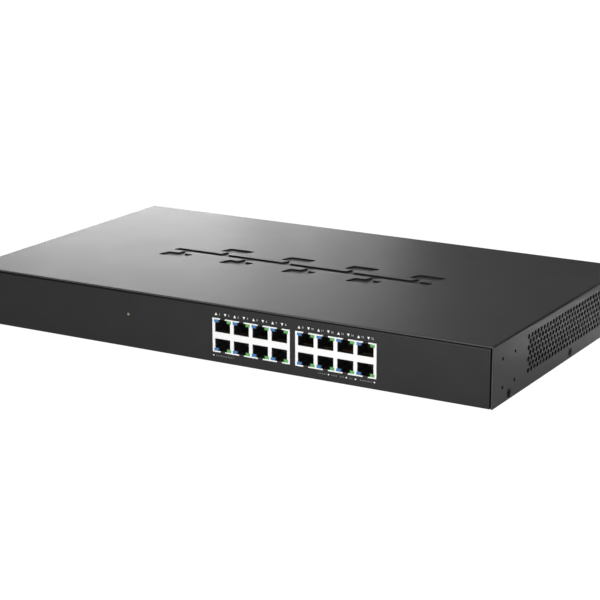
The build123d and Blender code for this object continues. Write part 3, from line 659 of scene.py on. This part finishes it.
motif = leaning(rounded(motif_corners(), 1.4 * MM, 5), MOTIF_LEAN)
motif_on_lid = moved(motif, lid_span[0] + HALF_WIDTH - BEND, 0)
side_cuts[1] = [(motif_on_lid, pressed(MOTIF_DEPTH))]

cover_place = cover_path[0]
cover_sheet = folded_sheet(cover_path, HALF_DEPTH, side_cuts, edge=COVER_EDGE, count=4)


def on_cover(distance, y, out):
    point = cover_place(distance, out)
    return Vector((point.x, y, point.y))


show_node("cover_shell", cover_sheet.build(on_cover), "top_cover")

# ------------------------------------------------------------------ base pan

shields = {side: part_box(f"jack_shield_{side}") for side in ("left", "right")}
inlet_low, inlet_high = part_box("ac_inlet")
pipe_low, pipe_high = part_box("light_pipe")
earth_low, earth_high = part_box("earth_screw")
inlet_middle = (inlet_low + inlet_high) / 2
earth_middle = (earth_low + earth_high) / 2
PIPE_X = (pipe_low.x + pipe_high.x) / 2
PIPE_RADIUS = (pipe_high.x - pipe_low.x) / 2
PIPE_Z = pipe_high.z - PIPE_RADIUS
PIPE_ROOM = 0.05 * MM
INLET_SCREW_SPACING = 40.0 * MM
INLET_SCREWS = [inlet_middle.x + side * INLET_SCREW_SPACING for side in (-0.5, 0.5)]
INLET_HOLE = (27.4 * MM, 20.4 * MM)
EARTH_HOLE = 2.1 * MM
SHIELD_ROOM = 0.4 * MM
FOOT_MARK = 7.0 * MM
FOOT_PLACE = (185.0 * MM, 95.0 * MM)

panel_leg = PANEL_TOP - 2 * BEND
floor_leg = REAR_Y - PANEL_Y - 2 * BEND
lip_leg = PANEL_LIP - BEND
pan_path = fold_path(
    (PANEL_Y + PANEL_LIP, PANEL_TOP), (-1, 0),
    [lip_leg, panel_leg, floor_leg, panel_leg, lip_leg], 1, BEND)
_, panel_span, floor_span, rear_span, _ = pan_path[2]


def down_panel(z):
    return panel_span[0] + PANEL_TOP - BEND - z


def up_rear(z):
    return rear_span[0] + z - BEND


def along_floor(y):
    return floor_span[0] + y - PANEL_Y - BEND


front_cuts = []
for low, high in shields.values():
    middle = (low + high) / 2
    size = high - low
    hole = rounded_box(
        down_panel(middle.z), middle.x, size.z + SHIELD_ROOM, size.x + SHIELD_ROOM, SHIELD_ROOM)
    front_cuts.append((hole, hole_rim(SHEET)))
pipe_hole = circle(down_panel(PIPE_Z), PIPE_X, PIPE_RADIUS + PIPE_ROOM)
front_cuts.append((pipe_hole, hole_rim(SHEET)))

inlet_hole = rounded_box(
    up_rear(inlet_middle.z), inlet_middle.x, INLET_HOLE[1], INLET_HOLE[0], 0.5 * MM)
rear_cuts = [
    (inlet_hole, hole_rim(SHEET)),
    (circle(up_rear(earth_middle.z), earth_middle.x, EARTH_HOLE), hole_rim(SHEET)),
]
for x in INLET_SCREWS:
    rear_cuts.append((circle(up_rear(inlet_middle.z), x, SCREW_HOLE), hole_rim(SHEET)))

foot_groove = [(0.1 * MM, 0.0), (-0.1 * MM, -0.2 * MM), (-0.9 * MM, -0.2 * MM), (-1.1 * MM, 0.0)]
floor_cuts = []
for x in (-FOOT_PLACE[0], FOOT_PLACE[0]):
    for y in (-FOOT_PLACE[1], FOOT_PLACE[1]):
        floor_cuts.append((circle(along_floor(y), x, FOOT_MARK, 48), foot_groove))

pan_place = pan_path[0]
pan_sheet = folded_sheet(pan_path, PANEL_HALF, {1: front_cuts, 2: floor_cuts, 3: rear_cuts})


def on_pan(distance, x, out):
    point = pan_place(distance, out)
    return Vector((x, point.x, point.y))


pan_meshes = [pan_sheet.build(on_pan)]

# Side flanges with the cover screws' holes, and the tall tabs behind the ear holes
FLANGE_TOP = 9.5 * MM
FLANGE_SETBACK = 1.8 * MM
FLANGE_FOOT = 0.3 * MM
TAB_FRONT = 2.2 * MM - HALF_DEPTH
TAB_BACK = 44.0 * MM - HALF_DEPTH
TAB_TOP = 38.0 * MM
flange_half = (REAR_Y - PANEL_Y) / 2 - FLANGE_SETBACK
flange_middle = (REAR_Y + PANEL_Y) / 2
flange_path = fold_path(
    (FLANGE_HALF, FLANGE_TOP), (0, -1), [FLANGE_TOP - BEND, FLANGE_FOOT], -1, BEND)
flange_place = flange_path[0]
for side in (-1, 1):
    holes = [
        (circle(FLANGE_TOP - SCREW_Z, y - flange_middle, SCREW_CLEAR), hole_rim(SHEET))
        for y in SCREW_YS
    ]

    def on_flange(distance, y, out, side=side):
        point = flange_place(distance, out)
        return Vector((side * point.x, y + flange_middle, point.y))

    pan_meshes.append(folded_sheet(flange_path, flange_half, {0: holes}).build(on_flange))
    tab = rounded_box(
        (TAB_FRONT + TAB_BACK) / 2, (FLANGE_TOP + TAB_TOP) / 2,
        TAB_BACK - TAB_FRONT, TAB_TOP - FLANGE_TOP, 1.0 * MM)
    ears = [(circle(y, z, EAR_RADIUS), hole_rim(SHEET)) for y, z in EAR_HOLES]
    pan_meshes.append(flat_piece(tab, ears, SHEET).build(facing_side(side * FLANGE_HALF, side)))

show_node("pan_shell", joined(pan_meshes), "base_pan")

# ------------------------------------------------------------------ screws


def countersunk_screw(head_depth):
    """Screw with a conical head of a given depth, its face at out = 0."""
    profile = [
        (SCREW_HEAD - 0.14 * MM, 0.0),
        (SCREW_HEAD - 0.08 * MM, -0.06 * MM),
        (SCREW_HEAD - head_depth, -head_depth),
        (SCREW_SHANK, -head_depth),
        (SCREW_SHANK, 0.3 * MM - SCREW_LENGTH),
        (SCREW_SHANK - 0.3 * MM, -SCREW_LENGTH),
    ]
    return screw_sheet(profile, SCREW_CROSS, 0.75 * head_depth)


cover_screw_meshes = []
for side in (-1, 1):
    for y in SCREW_YS:
        at = facing_side(side * (HALF_WIDTH - SCREW_SINK), side)
        cover_screw_meshes.append(
            countersunk_screw(SHEET - SCREW_SINK).build(
                lambda u, v, out, at=at, y=y: at(u + y, v + SCREW_Z, out)))
show_node("cover_screw_set", joined(cover_screw_meshes), "cover_screws")


def on_rear(x, z, y=REAR_Y):
    at = facing_back(y)
    return lambda u, v, out: at(u + x, v + z, out)


inlet_screw_meshes = []
for x in INLET_SCREWS:
    inlet_screw_meshes.append(
        countersunk_screw(SCREW_HEAD - SCREW_SHANK).build(
            on_rear(x, inlet_middle.z, inlet_high.y - SCREW_ROOM)))
show_node("inlet_screw_set", joined(inlet_screw_meshes), "inlet_screws")

EARTH_RADIUS = (earth_high.x - earth_low.x) / 2
EARTH_HEAD = 2.0 * MM
EARTH_SHANK = 2.0 * MM
EARTH_LENGTH = 8.0 * MM
EARTH_CROSS = (4.4 * MM, 0.9 * MM)
EARTH_RECESS = 1.1 * MM
earth_profile = [
    (EARTH_RADIUS - 0.7 * MM, EARTH_HEAD),
    (EARTH_RADIUS - 0.35 * MM, EARTH_HEAD - 0.1 * MM),
    (EARTH_RADIUS - 0.1 * MM, EARTH_HEAD - 0.35 * MM),
    (EARTH_RADIUS, EARTH_HEAD - 0.7 * MM),
    (EARTH_RADIUS, 0.0),
    (EARTH_SHANK, 0.0),
    (EARTH_SHANK, -EARTH_LENGTH),
]
earth_mesh = screw_sheet(earth_profile, EARTH_CROSS, EARTH_RECESS)
show_node(
    "earth_screw_head", earth_mesh.build(on_rear(earth_middle.x, earth_middle.z)), "earth_screw")

# ------------------------------------------------------------------ jack shields

SHIELD_EDGE = 0.07 * MM


def port_columns(low, high):
    middle = (low.x + high.x) / 2
    return [middle + (i - (PORT_COLUMNS - 1) / 2) * PORT_PITCH for i in range(PORT_COLUMNS)]


def shield_face(low, high):
    """Outline of a shield's face: windows with light corners, open to its edge through the keys."""
    middle = (low + high) / 2
    half_key = KEY_WIDTH / 2
    half_window = WINDOW[0] / 2
    half_lights = LIGHT_CORNER[0] / 2
    near, far = WINDOW_BAR / 2, WINDOW_BAR / 2 + WINDOW[1]
    shoulder = far - LIGHT_CORNER[1]
    columns = port_columns(low, high)
    corners = []
    for up in (-1, 1):
        edge = high.z if up > 0 else low.z
        corners.append((high.x if up > 0 else low.x, edge))
        for x in sorted(columns, reverse=up > 0):
            one_side = [
                (half_key, up * (edge - middle.z)),
                (half_key, far),
                (half_lights, far),
                (half_lights, shoulder),
                (half_window, shoulder),
                (half_window, near),
            ]
            corners += [(x + up * across, middle.z + up * out) for across, out in one_side]
            corners += [(x - up * across, middle.z + up * out) for across, out in reversed(one_side)]
        corners.append((low.x if up > 0 else high.x, edge))
    return rounded(corners, 0.2 * MM, 3)


def shield_top(low, high):
    """Outline of a shield's top wall, notched behind the latch keys."""
    front = low.y + SHIELD_SHEET
    corners = [(low.x, front)]
    for x in port_columns(low, high):
        k = KEY_WIDTH / 2
        notch = low.y + KEY_DEPTH
        corners += [(x - k, front), (x - k, notch), (x + k, notch), (x + k, front)]
    corners += [(high.x, front), (high.x, high.y), (low.x, high.y)]
    return rounded(corners, 0.15 * MM, 2)


for side, (low, high) in shields.items():
    middle = (low + high) / 2
    size = high - low
    under = high.z - SHIELD_SHEET
    wall_z, wall_height = (low.z + under) / 2, under - low.z
    wall = rounded_box(
        middle.y + SHIELD_SHEET / 2, wall_z, size.y - SHIELD_SHEET, wall_height, 0.1 * MM)
    back = rounded_box(middle.x, wall_z, size.x - 2 * SHIELD_SHEET, wall_height, 0.1 * MM)
    meshes = [
        flat_piece(outline, [], SHIELD_SHEET, SHIELD_EDGE).build(place)
        for outline, place in (
            (shield_face(low, high), facing_front(low.y)),
            (shield_top(low, high), facing_up(high.z)),
            (wall, facing_side(low.x, -1)),
            (wall, facing_side(high.x, 1)),
            (back, facing_back(high.y)),
        )
    ]
    show_node(f"shield_{side}", joined(meshes), f"jack_shield_{side}")

# ------------------------------------------------------------------ printed port markings

INK_HEIGHT = 0.03 * MM
PRINT_TOP = 36.3 * MM
PRINT_LOW = 5.4 * MM
PRINT_SIZE = 2.1 * MM

# Each column of ports has a triangle up and a triangle down: which way, and how far across
ARROWS = ((1, -5.4 * MM), (-1, 2.3 * MM))
ARROW_TO_NUMBER = 3.0 * MM
DOT_RADIUS = 0.55 * MM
STROKE_HEIGHT = 1.1 * MM

# Places along the front, from the left edge of the shield above
LEFT_DOT = 0.8 * MM
LEFT_ROW = (2.7 * MM, 17.9 * MM)
LEFT_ROW_PITCH = 1.35 * MM
RIGHT_ROWS_MM = ((18.3, 25.4), (28.7, 33.5), (35.6, 39.3), (42.9, 45.7), (51.2, 61.0))
RIGHT_ROW_PITCH = 1.3 * MM
RIGHT_DOTS_MM = (26.7, 40.8, 48.0, 62.7)


def ink(outline):
    sheet = Sheet()
    first, last = sheet.bands(outline, [(0, INK_HEIGHT), (0, 0.0)])
    sheet.skin(first)
    sheet.skin(last)
    return sheet.build(facing_front(PANEL_Y))


def triangle(x, z, size, up):
    points = [(-0.5, -0.45), (0.5, -0.45), (0.0, 0.5)]
    turned = [(x + up * size * a, z + up * size * b) for a, b in points]
    return lambda grow: turned


def figure(text, x, z, size):
    """A number in the built-in type, thin and flat on the front panel."""
    curve = bpy.data.curves.new("figure", "FONT")
    curve.body = text
    curve.size = size
    curve.extrude = INK_HEIGHT / 2
    curve.align_x = "CENTER"
    curve.align_y = "CENTER"
    holder = bpy.data.objects.new("figure", curve)
    bpy.context.scene.collection.objects.link(holder)
    mesh = bpy.data.meshes.new_from_object(holder)
    bpy.data.objects.remove(holder)
    for vertex in mesh.vertices:
        u, v, w = vertex.co
        vertex.co = (x + u, PANEL_Y - INK_HEIGHT / 2 - w, z + v)
    return mesh


marks, figures, small_print = [], [], []
number = 1
for low, high in shields.values():
    for x in port_columns(low, high):
        for up, across in ARROWS:
            marks.append(ink(triangle(x + across, PRINT_TOP, PRINT_SIZE, up)))
            figures.append(figure(str(number), x + across + ARROW_TO_NUMBER, PRINT_TOP, PRINT_SIZE))
            number += 1


def dash_row(start, stop, pitch):
    """Row of short upright strokes of uneven height, standing in for small print."""
    count = round((stop - start) / pitch)
    for i in range(count):
        x = start + (i + 0.5) * (stop - start) / count
        tall = STROKE_HEIGHT * (0.8 + 0.2 * math.cos(2.4 * i))
        small_print.append(ink(rounded_box(x, PRINT_LOW, 0.5 * pitch, tall, 0.1 * MM, 2)))


def dot(x):
    marks.append(ink(circle(x, PRINT_LOW, DOT_RADIUS, 16)))


left_start = shields["left"][0].x
right_start = shields["right"][0].x
dot(left_start + LEFT_DOT)
dash_row(left_start + LEFT_ROW[0], left_start + LEFT_ROW[1], LEFT_ROW_PITCH)
for start, stop in RIGHT_ROWS_MM:
    dash_row(right_start + start * MM, right_start + stop * MM, RIGHT_ROW_PITCH)
for x in RIGHT_DOTS_MM:
    dot(right_start + x * MM)

show("port_markings", joined(marks), INK)
show("port_numbers", joined(figures), PALE_INK)
show("small_print", joined(small_print), FAINT_INK)

# ------------------------------------------------------------------ mains inlet

CAVITY = (24.4 * MM, 16.8 * MM)
CAVITY_DEPTH = 16.0 * MM
CORNER_CUT = 4.5 * MM
FLANGE_SHEET = inlet_high.y - REAR_Y
FLANGE_CORNER = 4.0 * MM
MOULDED_EDGE = 0.4 * MM
INLET_BODY = (27.0 * MM, 20.0 * MM)
BODY_CORNER = 2.0 * MM
BODY_CHAMFER = 0.5 * MM

# How fast a slanting corner's cut grows when the cavity's outline grows
CUT_GROWTH = 0.59


def cavity_outline(grow):
    """Plug cavity: a rectangle with its two upper corners cut off."""
    w, h = CAVITY[0] / 2 + grow, CAVITY[1] / 2 + grow
    cut = CORNER_CUT + CUT_GROWTH * grow
    shape = [(-w, -h), (w, -h), (w, h - cut), (w - cut, h), (-w + cut, h), (-w, h - cut)]
    return [(inlet_middle.x + x, inlet_middle.z + z) for x, z in shape]


cavity_steps = [(0.5 * MM, 0.0), (0.2 * MM, -0.1 * MM), (0.0, -0.5 * MM), (0.0, -CAVITY_DEPTH)]
inlet_size = inlet_high - inlet_low
flange_outline = rounded_box(
    inlet_middle.x, inlet_middle.z, inlet_size.x, inlet_size.z, FLANGE_CORNER, 8)
flange = Sheet()
first, last = flange.bands(flange_outline, rim(FLANGE_SHEET, MOULDED_EDGE))
mouth, cavity_end = flange.bands(cavity_outline, cavity_steps)
flange.skin(cavity_end)
tops, lows = [mouth], []
for x in INLET_SCREWS:
    wide = SCREW_HEAD + SCREW_ROOM
    seat = circle(x, inlet_middle.z, wide, ROUND_SIDES)
    top, low_ring = flange.bands(seat, countersink(FLANGE_SHEET, wide, SCREW_CLEAR))
    tops.append(top)
    lows.append(low_ring)
body_outline = rounded_box(inlet_middle.x, inlet_middle.z, *INLET_BODY, BODY_CORNER, 5)
body_steps = [
    (0, -FLANGE_SHEET),
    (0, BODY_CHAMFER - inlet_size.y),
    (-BODY_CHAMFER, -inlet_size.y),
]
body_top, body_end = flange.bands(body_outline, body_steps)
flange.skin(first, tops)
flange.skin(last, [*lows, body_top])
flange.skin(body_end)
show_node("inlet_shell", flange.build(facing_back(inlet_high.y)), "ac_inlet")

# ------------------------------------------------------------------ floor, light and camera

REACH = 6.0
FLOOR_DROP = 0.05 * MM
FLOOR_GLOW = 0.55
SWEEP_GLOW = 1.04
WHITE_SHARE = 0.96
BACKDROP_GLOW = 1.0
AMBIENT_GLOW = 0.02
corners = [(-REACH, -REACH, 0), (REACH, -REACH, 0), (REACH, REACH, 0), (-REACH, REACH, 0)]
stage_mesh = bpy.data.meshes.new("floor")
stage_mesh.from_pydata(corners, [], [(0, 1, 2, 3)])
floor = bpy.data.objects.new("floor", stage_mesh)
floor.location = (0.0, 0.0, -FLOOR_DROP)
bpy.context.scene.collection.objects.link(floor)
pale_floor = surface(
    "pale_floor", (0.5, 0.5, 0.5), 0.9, grain=3.0, relief=0.01, mottle=0.01, specular=0.1,
    glow=(1, 1, 1), glow_strength=FLOOR_GLOW)
stage_mesh.materials.append(pale_floor)

# Seen directly, the floor is a clean white sweep that only keeps a trace of shadow
floor_nodes, floor_links = pale_floor.node_tree.nodes, pale_floor.node_tree.links
floor_output = next(n for n in floor_nodes if n.type == "OUTPUT_MATERIAL")
lit_floor = next(n for n in floor_nodes if n.type == "BSDF_PRINCIPLED")
sweep = floor_nodes.new("ShaderNodeEmission")
sweep.inputs["Color"].default_value = (1, 1, 1, 1)
sweep.inputs["Strength"].default_value = SWEEP_GLOW
floor_seen = floor_nodes.new("ShaderNodeLightPath")
white_share = floor_nodes.new("ShaderNodeMath")
white_share.operation = "MULTIPLY"
white_share.inputs[1].default_value = WHITE_SHARE
floor_mix = floor_nodes.new("ShaderNodeMixShader")
floor_links.new(floor_seen.outputs["Is Camera Ray"], white_share.inputs[0])
floor_links.new(white_share.outputs["Value"], floor_mix.inputs["Fac"])
floor_links.new(lit_floor.outputs["BSDF"], floor_mix.inputs[1])
floor_links.new(sweep.outputs["Emission"], floor_mix.inputs[2])

# From below, the floor is clear, so that the underside can be looked at
floor_side = floor_nodes.new("ShaderNodeNewGeometry")
clear = floor_nodes.new("ShaderNodeBsdfTransparent")
one_sided = floor_nodes.new("ShaderNodeMixShader")
floor_links.new(floor_side.outputs["Backfacing"], one_sided.inputs["Fac"])
floor_links.new(floor_mix.outputs["Shader"], one_sided.inputs[1])
floor_links.new(clear.outputs["BSDF"], one_sided.inputs[2])
floor_links.new(one_sided.outputs["Shader"], floor_output.inputs["Surface"])

world = bpy.data.worlds.new("studio")
bpy.context.scene.world = world
world.use_nodes = True
world_nodes, world_links = world.node_tree.nodes, world.node_tree.links
world_nodes.clear()
world_output = world_nodes.new("ShaderNodeOutputWorld")
backdrop = world_nodes.new("ShaderNodeBackground")
backdrop.inputs["Color"].default_value = (1, 1, 1, 1)
backdrop.inputs["Strength"].default_value = BACKDROP_GLOW
ambient = world_nodes.new("ShaderNodeBackground")
ambient.inputs["Color"].default_value = (1, 1, 1, 1)
ambient.inputs["Strength"].default_value = AMBIENT_GLOW
seen = world_nodes.new("ShaderNodeLightPath")
choose = world_nodes.new("ShaderNodeMixShader")
world_links.new(seen.outputs["Is Camera Ray"], choose.inputs["Fac"])
world_links.new(ambient.outputs["Background"], choose.inputs[1])
world_links.new(backdrop.outputs["Background"], choose.inputs[2])
world_links.new(choose.outputs["Shader"], world_output.inputs["Surface"])


def softbox(name, place, aim, size, power, spread=180.0):
    """Rectangular studio light of a size and power in metres and watts, pointing at a spot."""
    lamp = bpy.data.lights.new(name, "AREA")
    lamp.shape = "RECTANGLE"
    lamp.size, lamp.size_y = size
    lamp.energy = power
    lamp.spread = math.radians(spread)
    holder = bpy.data.objects.new(name, lamp)
    holder.location = place
    holder.rotation_euler = (Vector(aim) - Vector(place)).to_track_quat("-Z", "Y").to_euler()
    holder.visible_camera = False
    bpy.context.scene.collection.objects.link(holder)


LOW_BOX = (0.5, 0.2)
LARGE_BOX = (0.8, 0.5)
WIDE_BOX = (1.2, 0.4)
LID_AIM = (-0.1, 0.0, 0.03)
LID_MIDDLE = (0.0, 0.0, 0.03)

# Low softboxes behind the left corner fade over the lid; the others fill the front and the right
softbox("back_far", (-0.6, 0.8, 0.13), LID_AIM, LOW_BOX, 1.5)
softbox("back_near", (-0.54, 0.34, 0.13), LID_AIM, LOW_BOX, 0.8)
softbox("back_corner", (-0.36, 0.22, 0.13), LID_AIM, LOW_BOX, 0.25)
softbox("back_high", (-0.24, 0.52, 0.32), LID_AIM, LOW_BOX, 0.1)
softbox("far_left", (-0.6, 1.4, 0.4), LID_AIM, LARGE_BOX, 0.3)
softbox("far_high", (0.35, 1.3, 0.85), LID_AIM, LARGE_BOX, 0.9)
softbox("overhead", (-0.1, 0.8, 0.6), LID_AIM, (0.4, 0.3), 0.12)
softbox("front", (0.1, -0.6, 0.15), (0.1, -0.12, 0.02), (0.5, 0.3), 2.1)
softbox("right_floor", (0.32, 0.1, 0.35), (0.32, 0.1, 0.0), (0.12, 0.12), 0.24, 35.0)

# Wide boxes that the lid reflects when it is seen from above, from the left and from behind
softbox("above", (0.0, 0.1, 1.6), (0.0, 0.0, 0.0), (1.4, 1.0), 6.0)
softbox("far_right", (2.0, 0.0, 0.45), LID_MIDDLE, WIDE_BOX, 0.25)
softbox("far_front", (1.4, -1.4, 0.55), LID_MIDDLE, WIDE_BOX, 0.3)

AZIMUTH = math.radians(30.158)
ELEVATION = math.radians(15.314)
ROLL = math.radians(-0.105)
DISTANCE = 1.4321
AIM_RIGHT = 1.015 * MM
AIM_UP = 16.15 * MM
FOCAL_IN_WIDTHS = 3.0793

back = Vector((
    math.sin(AZIMUTH) * math.cos(ELEVATION),
    -math.cos(AZIMUTH) * math.cos(ELEVATION),
    math.sin(ELEVATION),
))
level_right = Vector((0, 0, 1)).cross(back).normalized()
level_up = back.cross(level_right)
right = level_right * math.cos(ROLL) + level_up * math.sin(ROLL)
up = level_up * math.cos(ROLL) - level_right * math.sin(ROLL)

lens = bpy.data.cameras.new("camera")
lens.sensor_width = 36.0
lens.lens = FOCAL_IN_WIDTHS * lens.sensor_width
lens.clip_start = 0.05
camera = bpy.data.objects.new("camera", lens)
bpy.context.scene.collection.objects.link(camera)
low, high = cad_box
centre = Vector(((low.x + high.x) / 2, (low.y + high.y) / 2, low.z))
seen_from = centre + DISTANCE * back + AIM_RIGHT * right + AIM_UP * up
facing = Matrix((right, up, back)).transposed()
camera.matrix_world = Matrix.LocRotScale(seen_from, facing, None)
bpy.context.scene.camera = camera
bpy.context.scene.view_settings.view_transform = "Standard"
